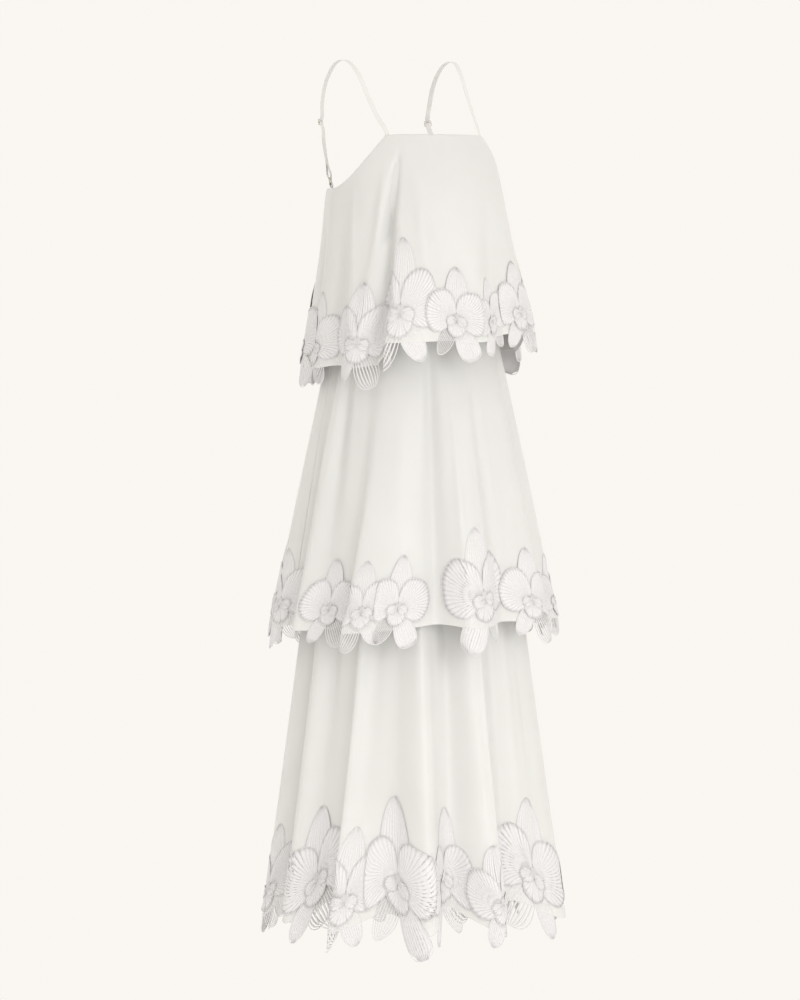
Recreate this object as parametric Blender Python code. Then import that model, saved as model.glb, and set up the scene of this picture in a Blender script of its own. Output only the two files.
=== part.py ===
"""Three-tier maxi dress, filled out as worn with no wearer, for Blender 4.5.

Metres, +Z up. The dress faces -Y and the wearer's right is at -X. The origin lies midway between the
tops of the two shoulder straps, where a wearer's shoulders hold the dress up.
"""

import math
from collections import namedtuple

import bpy
from mathutils import Vector
from mathutils.geometry import delaunay_2d_cdt

for leftover in list(bpy.data.objects):
    bpy.data.objects.remove(leftover, do_unlink=True)

# Driving dimensions, in metres and degrees.
CLOTH = 0.0014
SEAM_GAP = 0.0003
SEAM_ANGLE = 0.06
SIDE_SEAM = 90.0
COLUMN_STEP = 6.0
AXIS_Y = -0.060
NECK_Z = -0.121
BACK_EDGE_Z = -0.206
NECK_CORNER = 45.0
CORNER_ROUND = 0.05
ARMHOLE_END = 94.0
WAIST_Z = -0.400
TRIM_CLOTH = 0.0011

# Each ring is an egg: a half width, and its own depth in front of the axis and behind it.
Ring = namedtuple("Ring", "z half_width front back")

# Each fold is a ridge at an angle round the skirt, fully grown at the hem.
Fold = namedtuple("Fold", "angle left right height")

# Each hem level is a height at an angle, from the back centre (-180) past the front (0) and back.
Level = namedtuple("Level", "angle z")

# Each orchid sits at an angle, has a size from centre to crest, and leans by a turn.
Orchid = namedtuple("Orchid", "angle size turn")

Tier = namedtuple("Tier", "name rings folds fold_start growth hem valley_lift zone rows orchids")

TOP_TIER = Tier(
    name="top_tier",
    rings=[
        Ring(-0.121, 0.1230, 0.1020, 0.1100),
        Ring(-0.160, 0.1350, 0.1200, 0.1190),
        Ring(-0.210, 0.1415, 0.1380, 0.1250),
        Ring(-0.300, 0.1485, 0.1580, 0.1250),
        Ring(-0.460, 0.1675, 0.1890, 0.1360),
    ],
    folds=[
        Fold(-149, 16, 15, 0.018),
        Fold(-117, 16, 14, 0.016),
        Fold(-88, 14, 13, 0.012),
        Fold(-62, 12, 13, 0.014),
        Fold(-35, 12, 26, 0.026),
        Fold(8, 17, 16, 0.013),
        Fold(52, 25, 20, 0.027),
        Fold(88, 16, 15, 0.016),
        Fold(119, 15, 16, 0.018),
        Fold(150, 15, 15, 0.015),
        Fold(180, 15, 15, 0.018),
    ],
    fold_start=-0.165,
    growth=1.25,
    hem=[
        Level(-180, -0.486),
        Level(-115, -0.492),
        Level(-50, -0.488),
        Level(-40, -0.448),
        Level(0, -0.450),
        Level(31, -0.440),
        Level(60, -0.432),
        Level(80, -0.462),
        Level(135, -0.484),
        Level(180, -0.486),
    ],
    valley_lift=0.004,
    zone=0.180,
    rows=[0.0, 0.25, 0.55, 1.0],
    orchids=[
        Orchid(-153, 0.102, 5),
        Orchid(-122, 0.096, -6),
        Orchid(-89, 0.086, 3),
        Orchid(-58, 0.095, 6),
        Orchid(-37, 0.118, -4),
        Orchid(-6, 0.083, 5),
        Orchid(18, 0.068, -4),
        Orchid(41, 0.082, 4),
        Orchid(63, 0.088, -4),
        Orchid(86, 0.102, 5),
        Orchid(112, 0.096, -6),
        Orchid(142, 0.104, 4),
        Orchid(174, 0.110, -4),
    ],
)

MIDDLE_TIER = Tier(
    name="middle_tier",
    rings=[
        Ring(-0.400, 0.1290, 0.1120, 0.1060),
        Ring(-0.545, 0.1565, 0.1430, 0.1370),
        Ring(-0.915, 0.2200, 0.2080, 0.2040),
    ],
    folds=[
        Fold(-157, 13, 14, 0.026),
        Fold(-128, 15, 14, 0.024),
        Fold(-99, 15, 14, 0.022),
        Fold(-71, 13, 13, 0.026),
        Fold(-42, 14, 25, 0.030),
        Fold(3, 17, 15, 0.027),
        Fold(35, 15, 14, 0.026),
        Fold(64, 15, 14, 0.019),
        Fold(93, 15, 14, 0.019),
        Fold(121, 14, 14, 0.027),
        Fold(148, 13, 13, 0.024),
        Fold(175, 14, 14, 0.028),
    ],
    fold_start=-0.400,
    growth=1.35,
    hem=[
        Level(-180, -0.906),
        Level(-90, -0.902),
        Level(-45, -0.904),
        Level(-15, -0.896),
        Level(60, -0.894),
        Level(180, -0.906),
    ],
    valley_lift=0.006,
    zone=0.190,
    rows=[0.0, 0.22, 0.56, 1.0],
    orchids=[
        Orchid(-152, 0.102, -5),
        Orchid(-122, 0.098, 6),
        Orchid(-94, 0.089, -6),
        Orchid(-65, 0.078, 5),
        Orchid(-47, 0.080, -4),
        Orchid(-33, 0.082, 5),
        Orchid(3, 0.112, -5),
        Orchid(31, 0.085, 4),
        Orchid(61, 0.074, -5),
        Orchid(84, 0.094, 5),
        Orchid(110, 0.106, 4),
        Orchid(139, 0.098, -4),
        Orchid(171, 0.108, 4),
    ],
)

# The slip carries the other two tiers; its lower part shows as the bottom tier.
SLIP = Tier(
    name="slip",
    rings=[
        Ring(-0.121, 0.1207, 0.0997, 0.1077),
        Ring(-0.160, 0.1310, 0.1150, 0.1140),
        Ring(-0.210, 0.1375, 0.1320, 0.1190),
        Ring(-0.290, 0.1340, 0.1270, 0.1140),
        Ring(-0.400, 0.1270, 0.1100, 0.1040),
        Ring(-0.660, 0.1510, 0.1390, 0.1310),
        Ring(-1.390, 0.2200, 0.2140, 0.1880),
    ],
    folds=[
        Fold(-163, 14, 14, 0.034),
        Fold(-134, 15, 15, 0.038),
        Fold(-105, 14, 14, 0.034),
        Fold(-78, 13, 13, 0.034),
        Fold(-52, 13, 13, 0.042),
        Fold(-25, 14, 13, 0.044),
        Fold(1, 13, 13, 0.040),
        Fold(46, 27, 20, 0.038),
        Fold(86, 14, 13, 0.034),
        Fold(113, 14, 14, 0.038),
        Fold(141, 14, 14, 0.034),
        Fold(169, 14, 14, 0.038),
    ],
    fold_start=-0.430,
    growth=1.5,
    hem=[
        Level(-180, -1.386),
        Level(-100, -1.366),
        Level(-30, -1.374),
        Level(60, -1.368),
        Level(180, -1.386),
    ],
    valley_lift=0.038,
    zone=0.205,
    rows=[0.0, 0.4, 0.72, 1.0],
    orchids=[
        Orchid(-157, 0.118, 5),
        Orchid(-129, 0.112, -5),
        Orchid(-101, 0.100, 6),
        Orchid(-72, 0.120, -3),
        Orchid(-54, 0.114, 4),
        Orchid(-32, 0.133, -4),
        Orchid(-13.5, 0.111, 5),
        Orchid(8, 0.095, -5),
        Orchid(31, 0.127, 4),
        Orchid(62, 0.105, -6),
        Orchid(88, 0.112, 5),
        Orchid(114, 0.112, -4),
        Orchid(143, 0.122, 5),
        Orchid(173, 0.114, -6),
    ],
)
BODICE_ROWS = [0.0, 0.3, 0.62]

# An orchid's petals about its centre: lengths are shares of its size, angles are from straight up.
Petal = namedtuple("Petal", "lean spread length roundness")
DORSAL = Petal(lean=0, spread=30, length=1.0, roundness=0.62)
SIDE_PETAL = Petal(lean=64, spread=54, length=0.70, roundness=0.42)
LOWER_SEPAL = Petal(lean=152, spread=24, length=0.78, roundness=0.35)
LIP = Petal(lean=180, spread=60, length=0.34, roundness=0.50)
OUTLINE_ANGLES = [0, 14, 27, 40, 66, 92, 112, 131, 140, 152, 164, 173, 180]
CENTRE_HEIGHT = 0.40
NEIGHBOUR_SHARE = 0.475
SLOT_NEAR = 0.54
SLOT_FAR = 0.69
SLOT_LEANS = (-6.3, 6.3)
SLOT_SPREAD = 3.4

# The straps: a ribbon from the front neck edge over the shoulder, through a slider, round a ring and
# back up to the slider, then a short tab from the ring to the back edge. The wearer's left is listed.
RIBBON_WIDTH = 0.0075
RIBBON = 0.0010
RIBBON_GAP = 0.0004
FOOT_LENGTH = 0.012
FOOT_RISE = 0.0015
FRONT_FOOT_ANGLE = 43.8
BACK_FOOT_ANGLE = 127.5
Spot = namedtuple("Spot", "x y z twist")
STRAP_ROUTE = [
    Spot(0.0868, -0.1050, -0.0930, 30),
    Spot(0.0895, -0.0770, -0.0600, 20),
    Spot(0.0930, -0.0440, -0.0190, 10),
    Spot(0.0962, -0.0200, -0.0030, 4),
    Spot(0.0975, 0.0000, 0.0000, 0),
    Spot(0.0980, 0.0210, -0.0040, -3),
    Spot(0.0980, 0.0420, -0.0170, -7),
    Spot(0.0980, 0.0610, -0.0390, -12),
    Spot(0.0975, 0.0730, -0.0700, -18),
]
SLIDER_SPOT = Spot(0.0970, 0.0770, -0.0974, -24)
LOWER_ROUTE = [
    Spot(0.1010, 0.0605, -0.1300, -32),
    Spot(0.1072, 0.0360, -0.1650, -42),
]
RING_ABOVE_EDGE = 0.0140
RING_RADIUS = 0.0062
RING_WIRE = 0.0009
RING_SEGMENTS = 16
WIRE_SIDES = 5
LOOP_STEPS = 4
SLIDER_WIDTH = 0.0120
SLIDER_HEIGHT = 0.0102
SLIDER_BAR = 0.0010

# Materials, as seen in daylight.
WHITE_CLOTH = ("off_white_cloth", (0.86, 0.85, 0.81), 0.72, 0.0)
WHITE_TRIM = ("embroidered_organza", (0.88, 0.87, 0.84), 0.55, 0.0)
WHITE_RIBBON = ("satin_ribbon", (0.85, 0.84, 0.80), 0.45, 0.0)
STRAP_METAL = ("coated_metal", (0.72, 0.71, 0.69), 0.30, 0.8)


def material(named):
    """The Principled material of this name, made once."""
    name, colour, roughness, metallic = named
    found = bpy.data.materials.get(name)
    if found is None:
        found = bpy.data.materials.new(name)
        found.use_nodes = True
        shader = found.node_tree.nodes["Principled BSDF"]
        shader.inputs["Base Color"].default_value = (*colour, 1.0)
        shader.inputs["Roughness"].default_value = roughness
        shader.inputs["Metallic"].default_value = metallic
    return found


def solid(name, points, faces, finish):
    """A named object made of these points and outward faces."""
    mesh = bpy.data.meshes.new(name)
    mesh.from_pydata([tuple(p) for p in points], [], faces)
    mesh.materials.append(material(finish))
    mesh.shade_smooth()
    mesh.set_sharp_from_angle(angle=math.radians(50))
    made = bpy.data.objects.new(name, mesh)
    bpy.context.scene.collection.objects.link(made)
    return made


def between(rows, value, key, fields):
    """The fields of a table at this value, along straight lines between its rows."""
    rows = sorted(rows, key=lambda row: getattr(row, key))
    for low, high in zip(rows, rows[1:]):
        if value <= getattr(high, key) or high is rows[-1]:
            share = (value - getattr(low, key)) / (getattr(high, key) - getattr(low, key))
            return [getattr(low, f) + share * (getattr(high, f) - getattr(low, f)) for f in fields]
    raise ValueError("a table needs two rows")


def top_edge_z(angle):
    """The neck edge: level across the front, then a soft corner and a nearly straight fall along the
    armhole, which flattens out to the level back."""
    past = (abs(angle) - NECK_CORNER) / (ARMHOLE_END - NECK_CORNER)
    past = (past + math.hypot(past, CORNER_ROUND)) / 2
    fall = math.sin(math.pi / 2 * min(1.0, past))
    return NECK_Z + (BACK_EDGE_Z - NECK_Z) * fall


def ridge(fold, angle):
    """How far this angle is up a fold's ridge: 1 on its crest, 0 from its reach outwards."""
    away = (angle - fold.angle + 180) % 360 - 180
    share = away / (fold.left if away < 0 else fold.right)
    return 0.5 + 0.5 * math.cos(math.pi * share) if abs(share) < 1 else 0.0


def hem_z(tier, angle):
    """The hem's height, lifted a little in the valleys between folds."""
    level = between(tier.hem, angle, "angle", ["z"])[0]
    crest = min(1.0, sum(ridge(fold, angle) for fold in tier.folds))
    return level + tier.valley_lift * (1 - crest)


def ring_point(rings, angle, z, swell=0.0):
    """A point of the egg at this height, moved outwards by swell."""
    half_width, front, back = between(rings, z, "z", ["half_width", "front", "back"])
    turn = math.radians(angle)
    depth = front if math.cos(turn) > 0 else back
    out = Vector((math.sin(turn) * depth, -math.cos(turn) * half_width, 0)).normalized()
    spot = Vector((half_width * math.sin(turn), AXIS_Y - depth * math.cos(turn), z))
    return spot + out * swell


def tier_point(tier, angle, z):
    """A point of a tier's outer face: its egg plus its folds, which grow from their start to the hem."""
    fall = (tier.fold_start - z) / (tier.fold_start - hem_z(tier, angle))
    grown = max(0.0, fall) ** tier.growth
    swell = grown * sum(fold.height * ridge(fold, angle) for fold in tier.folds)
    return ring_point(tier.rings, angle, z, swell)


def tier_column(tier, angle):
    """Points down a tier at this angle: from its seam to the top of the trim's zone, then the hem."""
    hem = hem_z(tier, angle)
    zone_top = hem + tier.zone
    if tier is TOP_TIER:
        top = top_edge_z(angle)
        first = [tier_point(tier, angle, top)]
    elif tier is MIDDLE_TIER:
        top = WAIST_Z
        first = [ring_point(SLIP.rings, angle, top, CLOTH + SEAM_GAP)]
    else:
        top = WAIST_Z
        edge = top_edge_z(angle)
        first = [ring_point(TOP_TIER.rings, angle, edge, -CLOTH - SEAM_GAP)]
        first += [ring_point(tier.rings, angle, edge + (top - edge) * share) for share in BODICE_ROWS[1:]]
        first.append(ring_point(tier.rings, angle, top))
    heights = [top + (zone_top - top) * share for share in tier.rows[1:]] + [hem]
    return first + [tier_point(tier, angle, z) for z in heights]


def column_angles():
    """Angles all the way round from the back centre, with a gap at each side seam."""
    angles = []
    for n in range(round(360 / COLUMN_STEP)):
        angle = -180 + n * COLUMN_STEP
        if abs(angle) == SIDE_SEAM:
            angles += [angle - SEAM_ANGLE, angle + SEAM_ANGLE]
        else:
            angles.append(angle)
    return angles


def at_seam(angles, c):
    """Whether this column and the next are the two edges of a side seam."""
    return 0 <= c < len(angles) - 1 and angles[c + 1] - angles[c] < COLUMN_STEP / 2


def normals(grid, angles):
    """Outward unit normals round a grid of rings; the two edges of a side seam share theirs."""
    rows, columns = len(grid), len(angles)
    found = []
    for r in range(rows):
        line = []
        for c in range(columns):
            before, after = grid[r][c - 1], grid[r][(c + 1) % columns]
            above, below = grid[max(r - 1, 0)][c], grid[min(r + 1, rows - 1)][c]
            line.append((after - before).cross(above - below).normalized())
        for c in range(columns):
            if at_seam(angles, c):
                shared = (line[c] + line[c + 1]).normalized()
                line[c] = shared
                line[c + 1] = shared
        found.append(line)
    return found


def wall(name, outer, inner, finish):
    """A closed wall between two open grids of rows: both faces, and the edges round them."""
    rows, columns = len(outer), len(outer[0])
    points = [p for row in outer for p in row] + [p for row in inner for p in row]
    back = rows * columns
    faces = []
    for r in range(rows - 1):
        for c in range(columns - 1):
            a, b = r * columns + c, (r + 1) * columns + c
            faces += [(a, b, b + 1), (a, b + 1, a + 1)]
            faces += [(back + a, back + b + 1, back + b), (back + a, back + a + 1, back + b + 1)]
    loop = list(range(columns))
    loop += [r * columns + columns - 1 for r in range(1, rows)]
    loop += [(rows - 1) * columns + c for c in range(columns - 2, -1, -1)]
    loop += [r * columns for r in range(rows - 2, 0, -1)]
    for a, b in zip(loop, loop[1:] + loop[:1]):
        faces += [(a, b, back + b), (a, back + b, back + a)]
    return solid(name, points, faces, finish)


Surface = namedtuple("Surface", "angles stations girth zone points directions")


def make_tier(tier):
    """Builds a tier's front and back walls; returns the outer surface near its hem for the trim."""
    angles = column_angles()
    grid = [list(row) for row in zip(*[tier_column(tier, angle) for angle in angles])]
    directions = normals(grid, angles)
    inner = [[p - n * CLOTH for p, n in zip(a, b)] for a, b in zip(grid, directions)]
    front = [c for c, angle in enumerate(angles) if abs(angle) < SIDE_SEAM]
    back = list(range(front[-1] + 1, len(angles))) + list(range(front[0]))
    for side, columns in (("front", front), ("back", back)):
        outside = [[row[c] for c in columns] for row in grid]
        inside_face = [[row[c] for c in columns] for row in inner]
        wall(f"{tier.name}_{side}", outside, inside_face, WHITE_CLOTH)
    kept = [c for c in range(len(angles)) if not at_seam(angles, c - 1)]
    points = [[row[c] for c in kept] for row in grid[-2:]]
    stations = [0.0]
    for before, after in zip(points[1], points[1][1:]):
        stations.append(stations[-1] + (after - before).length)
    girth = stations[-1] + (points[1][0] - points[1][-1]).length
    lines = [[row[c] for c in kept] for row in directions[-2:]]
    return Surface([angles[c] for c in kept], stations, girth, tier.zone, points, lines)


def station_of(surface, angle):
    """The distance round the hem to this angle."""
    for c in range(len(surface.angles) - 1):
        low, high = surface.angles[c], surface.angles[c + 1]
        if low <= angle <= high:
            share = (angle - low) / (high - low)
            return surface.stations[c] + share * (surface.stations[c + 1] - surface.stations[c])
    return surface.stations[-1]


def on_surface(surface, station, height):
    """The wall's own flat facet at a place on the cloth, as (point, outward direction).

    Below the hem the facet's lines run straight on.
    """
    station %= surface.girth
    count = len(surface.stations)
    c = max(n for n in range(count) if surface.stations[n] <= station)
    end = surface.stations[c + 1] if c + 1 < count else surface.girth
    across = (station - surface.stations[c]) / (end - surface.stations[c])
    down = (surface.zone - height) / surface.zone
    d = (c + 1) % count
    found = []
    for above, below in (surface.points, surface.directions):
        if down > 1:
            left = below[c] + (below[c] - above[c]) * (down - 1)
            right = below[d] + (below[d] - above[d]) * (down - 1)
            found.append(left.lerp(right, across))
        elif down >= across:
            found.append(above[c] * (1 - down) + below[c] * (down - across) + below[d] * across)
        else:
            found.append(above[c] * (1 - across) + above[d] * (across - down) + below[d] * down)
    return found[0], found[1].normalized()


def petal_reach(petal, lean, length):
    """The petal's outline in polar form: its length times a power of a cosine of the angle off its line."""
    share = (lean - petal.lean) / petal.spread
    if abs(share) >= 1:
        return 0.0
    return length * math.cos(0.5 * math.pi * share) ** petal.roundness


def orchid_outline(orchid, left_room, right_room):
    """Outline points about the flower's centre, clockwise from the top, as (right, up)."""
    points = []
    for lean in OUTLINE_ANGLES + [-lean for lean in OUTLINE_ANGLES[-2:0:-1]]:
        room = right_room if lean > 0 else left_room
        reach = max(
            petal_reach(DORSAL, abs(lean), orchid.size),
            petal_reach(SIDE_PETAL, abs(lean), min(SIDE_PETAL.length * orchid.size, room)),
            petal_reach(LOWER_SEPAL, abs(lean), LOWER_SEPAL.length * orchid.size),
            petal_reach(LIP, abs(lean), LIP.length * orchid.size),
        )
        turn = math.radians(lean + orchid.turn)
        reach = min(reach, room / max(abs(math.sin(turn)), 0.1))
        points.append((reach * math.sin(turn), reach * math.cos(turn)))
    return points


def orchid_slots(orchid):
    """The open slots between the ribs of the two lower sepals, as short wedges."""
    slots = []
    for side in (1, -1):
        for off in SLOT_LEANS:
            middle = side * (LOWER_SEPAL.lean + off) + orchid.turn
            corners = [(SLOT_NEAR, 0.0), (SLOT_FAR, -SLOT_SPREAD / 2), (SLOT_FAR, SLOT_SPREAD / 2)]
            slot = []
            for share, lean in corners:
                turn = math.radians(middle + lean)
                slot.append((share * orchid.size * math.sin(turn), share * orchid.size * math.cos(turn)))
            slots.append(slot)
    return slots


def inside(spot, outline):
    """Whether a spot lies in a closed outline, by counting the edges to its right."""
    x, y = spot
    crossings = 0
    for (ax, ay), (bx, by) in zip(outline, outline[1:] + outline[:1]):
        if (ay > y) != (by > y) and x < ax + (y - ay) * (bx - ax) / (by - ay):
            crossings += 1
    return crossings % 2 == 1


def facet_lines(surface, low, high):
    """The wall's column lines and diagonals between two stations, as pairs of (station, height)."""
    lines = [((low, 0.0), (high, 0.0))]
    count = len(surface.stations)
    for lap in (-surface.girth, 0.0, surface.girth):
        for c in range(count):
            start = surface.stations[c] + lap
            end = (surface.stations[c + 1] if c + 1 < count else surface.girth) + lap
            if end > low and start < high:
                lines.append(((start, surface.zone), (start, 0.0)))
                lines.append(((start, 0.0), (start, -surface.zone)))
                lines.append(((start, surface.zone), (end, 0.0)))
    return lines


def make_orchid(name, surface, orchid, left_room, right_room):
    """One orchid applique: a thin plate on the wall's own facets, with its sepals below the hem."""
    station = station_of(surface, orchid.angle)
    height = CENTRE_HEIGHT * orchid.size
    outline = [(station + x, height + y) for x, y in orchid_outline(orchid, left_room, right_room)]
    slots = [[(station + x, height + y) for x, y in slot] for slot in orchid_slots(orchid)]
    spots, edges = [], []
    for loop in [outline] + slots:
        first = len(spots)
        spots += loop
        edges += [(first + n, first + (n + 1) % len(loop)) for n in range(len(loop))]
    low = min(x for x, _ in outline) - TRIM_CLOTH
    high = max(x for x, _ in outline) + TRIM_CLOTH
    for line in facet_lines(surface, low, high):
        edges.append((len(spots), len(spots) + 1))
        spots += line
    flat, _, triangles, _, _, _ = delaunay_2d_cdt([Vector(p) for p in spots], edges, [], 0, 1e-5)
    kept = []
    for triangle in triangles:
        middle = sum((flat[v] for v in triangle), Vector((0, 0))) / 3
        if inside(middle, outline) and not any(inside(middle, slot) for slot in slots):
            kept.append(triangle)
    used = sorted({v for triangle in kept for v in triangle})
    place = {v: n for n, v in enumerate(used)}
    near, far = [], []
    for v in used:
        spot, out = on_surface(surface, flat[v].x, flat[v].y)
        near.append(spot + out * SEAM_GAP)
        far.append(spot + out * (SEAM_GAP + TRIM_CLOTH))
    count = len(used)
    faces = []
    sides = []
    for triangle in kept:
        a, b, c = (place[v] for v in triangle)
        faces += [(a, b, c), (count + a, count + c, count + b)]
        sides += [(a, b), (b, c), (c, a)]
    whole = set(sides)
    for p, q in sides:
        if (q, p) not in whole:
            faces += [(p, count + q, q), (p, count + p, count + q)]
    return solid(name, far + near, faces, WHITE_TRIM)


def make_trim(tier, surface):
    """All the orchids of a tier, each kept clear of its neighbours."""
    stations = [station_of(surface, orchid.angle) for orchid in tier.orchids]
    for n, orchid in enumerate(tier.orchids):
        to_left = (stations[n] - stations[n - 1]) % surface.girth
        to_right = (stations[(n + 1) % len(stations)] - stations[n]) % surface.girth
        name = f"{tier.name}_orchid_{n + 1:02d}"
        make_orchid(name, surface, orchid, NEIGHBOUR_SHARE * to_left, NEIGHBOUR_SHARE * to_right)


def foot(angle):
    """The neck edge at this angle, on the ribbon's line inside the slip: (point, up the wall, across)."""
    edge, below = tier_column(SLIP, angle)[:2]
    up = (edge - below).normalized()
    turn = math.radians(angle)
    half_width, front, back = between(TOP_TIER.rings, edge.z, "z", ["half_width", "front", "back"])
    depth = front if math.cos(turn) > 0 else back
    across = Vector((half_width * math.cos(turn), depth * math.sin(turn), 0)).normalized()
    if across.x < 0:
        across = -across
    outward = across.cross(up).normalized()
    if outward.dot(edge - Vector((0, AXIS_Y, edge.z))) < 0:
        outward = -outward
    return edge - outward * (CLOTH + RIBBON_GAP + RIBBON / 2), up, across


def spot_frame(spot):
    """A strap spot as a point and its across direction."""
    twist = math.radians(spot.twist)
    return Vector((spot.x, spot.y, spot.z)), Vector((math.cos(twist), math.sin(twist), 0))


def ring_frame():
    """The ring's centre, and its directions across the ribbon, up the strap and out from the body."""
    start, _, across = foot(BACK_FOOT_ANGLE)
    last, _ = spot_frame(LOWER_ROUTE[-1])
    up = (last - start).normalized()
    across = (across - up * across.dot(up)).normalized()
    return start + up * RING_ABOVE_EDGE, across, up, across.cross(-up)


def slider_frame():
    """The slider spot on the ribbon, and directions across it, up the strap and out from the body."""
    middle, across = spot_frame(SLIDER_SPOT)
    above, _ = spot_frame(STRAP_ROUTE[-1])
    below, _ = spot_frame(LOWER_ROUTE[0])
    up = (above - below).normalized()
    across = (across - up * across.dot(up)).normalized()
    return middle, across, up, across.cross(-up)


def loop_round_ring(side):
    """The ribbon's bend round the ring's wire, from its outer leg to its inner one."""
    centre, across, up, out = ring_frame()
    half = RIBBON_WIDTH / 2
    middle = centre + up * side * (math.sqrt(RING_RADIUS ** 2 - half ** 2) - RIBBON_GAP)
    reach = RING_WIRE + SEAM_GAP + RIBBON / 2
    path = []
    for step in range(LOOP_STEPS + 1):
        turn = math.pi * step / LOOP_STEPS
        path.append((middle + out * reach * math.cos(turn) - up * side * reach * math.sin(turn), across))
    return path


def strap_path():
    """The long ribbon's centre line as (point, across)."""
    start, up, across = foot(FRONT_FOOT_ANGLE)
    path = [(start - up * FOOT_LENGTH, across), (start + up * FOOT_RISE, across)]
    path += [spot_frame(spot) for spot in STRAP_ROUTE]
    middle, across, up, out = slider_frame()
    pitch = (SLIDER_HEIGHT - SLIDER_BAR) / 2
    clear = SLIDER_BAR / 2 + SEAM_GAP + RIBBON / 2
    bend = SLIDER_BAR / 2 + RIBBON_GAP
    for along, rise in ((pitch - bend, 0), (bend, 2 * clear), (-bend, 2 * clear), (bend - pitch, 0)):
        path.append((middle + up * along + out * rise, across))
    lower = [spot_frame(spot) for spot in LOWER_ROUTE]
    path += lower
    path += loop_round_ring(1)
    behind = RIBBON + RIBBON_GAP
    for point, side in reversed(lower):
        path.append((point - out * behind, side))
    path.append((middle - up * pitch - out * behind, across))
    path.append((middle - up * bend, across))
    path.append((middle + up * bend, across))
    return path


def tab_path():
    """The short tab's centre line, from inside the back edge up through the ring and down again."""
    start, up, across = foot(BACK_FOOT_ANGLE)
    loop = loop_round_ring(-1)
    _, _, along, _ = ring_frame()
    end = loop[0][0] - along * (RING_ABOVE_EDGE - RING_RADIUS) * 0.7
    path = [(start - up * FOOT_LENGTH, across), (start + up * FOOT_RISE, across)]
    return path + loop[::-1] + [(end, across)]


def pair(name, points, faces, finish):
    """The same solid on the wearer's left and, mirrored, on the wearer's right."""
    solid(f"{name}_left", points, faces, finish)
    flipped = [Vector((-p.x, p.y, p.z)) for p in points]
    solid(f"{name}_right", flipped, [face[::-1] for face in faces], finish)


def ribbon(name, path):
    """A flat ribbon along a path, its thickness kept through each bend."""
    points = []
    for n, (point, across) in enumerate(path):
        before = (point - path[n - 1][0]).normalized() if n else None
        after = (path[n + 1][0] - point).normalized() if n + 1 < len(path) else None
        before, after = before or after, after or before
        along = (before + after).normalized()
        across = (across - along * across.dot(along)).normalized()
        out = across.cross(along) / max(along.dot(after), 0.5)
        wide, thick = across * RIBBON_WIDTH / 2, out * RIBBON / 2
        points += [point - wide - thick, point + wide - thick, point + wide + thick, point - wide + thick]
    faces = [(0, 1, 2), (0, 2, 3)]
    for n in range(len(path) - 1):
        for k in range(4):
            a, b = 4 * n + k, 4 * n + (k + 1) % 4
            faces += [(a, a + 4, b + 4), (a, b + 4, b)]
    last = 4 * (len(path) - 1)
    faces += [(last, last + 2, last + 1), (last, last + 3, last + 2)]
    pair(name, points, faces, WHITE_RIBBON)


def make_ring():
    """The round wire ring that joins a strap to its tab."""
    centre, across, up, out = ring_frame()
    points, faces = [], []
    for n in range(RING_SEGMENTS):
        turn = 2 * math.pi * (n + 0.5) / RING_SEGMENTS
        spoke = across * math.cos(turn) + up * math.sin(turn)
        for k in range(WIRE_SIDES):
            roll = 2 * math.pi * k / WIRE_SIDES
            reach = RING_RADIUS + RING_WIRE * math.cos(roll)
            points.append(centre + spoke * reach + out * RING_WIRE * math.sin(roll))
    for n in range(RING_SEGMENTS):
        for k in range(WIRE_SIDES):
            a, b = n * WIRE_SIDES + k, n * WIRE_SIDES + (k + 1) % WIRE_SIDES
            c, d = ((v + WIRE_SIDES) % len(points) for v in (a, b))
            faces += [(a, d, c), (a, b, d)]
    pair("strap_ring", points, faces, STRAP_METAL)


def make_slider():
    """The slider: a flat plate with two windows and a bar between them for the ribbon."""
    centre, across, up, out = slider_frame()
    centre = centre + out * (SLIDER_BAR / 2 + SEAM_GAP + RIBBON / 2)
    bar = SLIDER_BAR
    side, end = SLIDER_WIDTH / 2, SLIDER_HEIGHT / 2
    xs = [-side, bar - side, side - bar, side]
    ys = [-end, bar - end, -bar / 2, bar / 2, end - bar, end]
    windows = {(1, 1), (1, 3)}
    points = []
    for level in (bar / 2, -bar / 2):
        points += [centre + across * x + up * y + out * level for y in ys for x in xs]
    width, back = len(xs), len(xs) * len(ys)
    faces, sides = [], []
    for j in range(len(ys) - 1):
        for i in range(width - 1):
            if (i, j) in windows:
                continue
            a, b = j * width + i, (j + 1) * width + i
            faces += [(a, b, b + 1), (a, b + 1, a + 1)]
            faces += [(back + a, back + b + 1, back + b), (back + a, back + a + 1, back + b + 1)]
            sides += [(a, b), (b, b + 1), (b + 1, a + 1), (a + 1, a)]
    whole = set(sides)
    for a, b in sides:
        if (b, a) not in whole:
            faces += [(a, back + b, b), (a, back + a, back + b)]
    pair("strap_slider", points, faces, STRAP_METAL)


for tier in (TOP_TIER, MIDDLE_TIER, SLIP):
    make_trim(tier, make_tier(tier))
ribbon("strap", strap_path())
ribbon("strap_tab", tab_path())
make_ring()
make_slider()
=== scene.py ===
"""Three-tier maxi dress with orchid embroidery, filled out as worn with no wearer, over its CAD frame.

Metres, +Z up, the dress faces -Y. Angles go round the body in degrees: 0 is the front centre, plus is
towards the wearer's left, and 180 is the back centre.
"""

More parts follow.
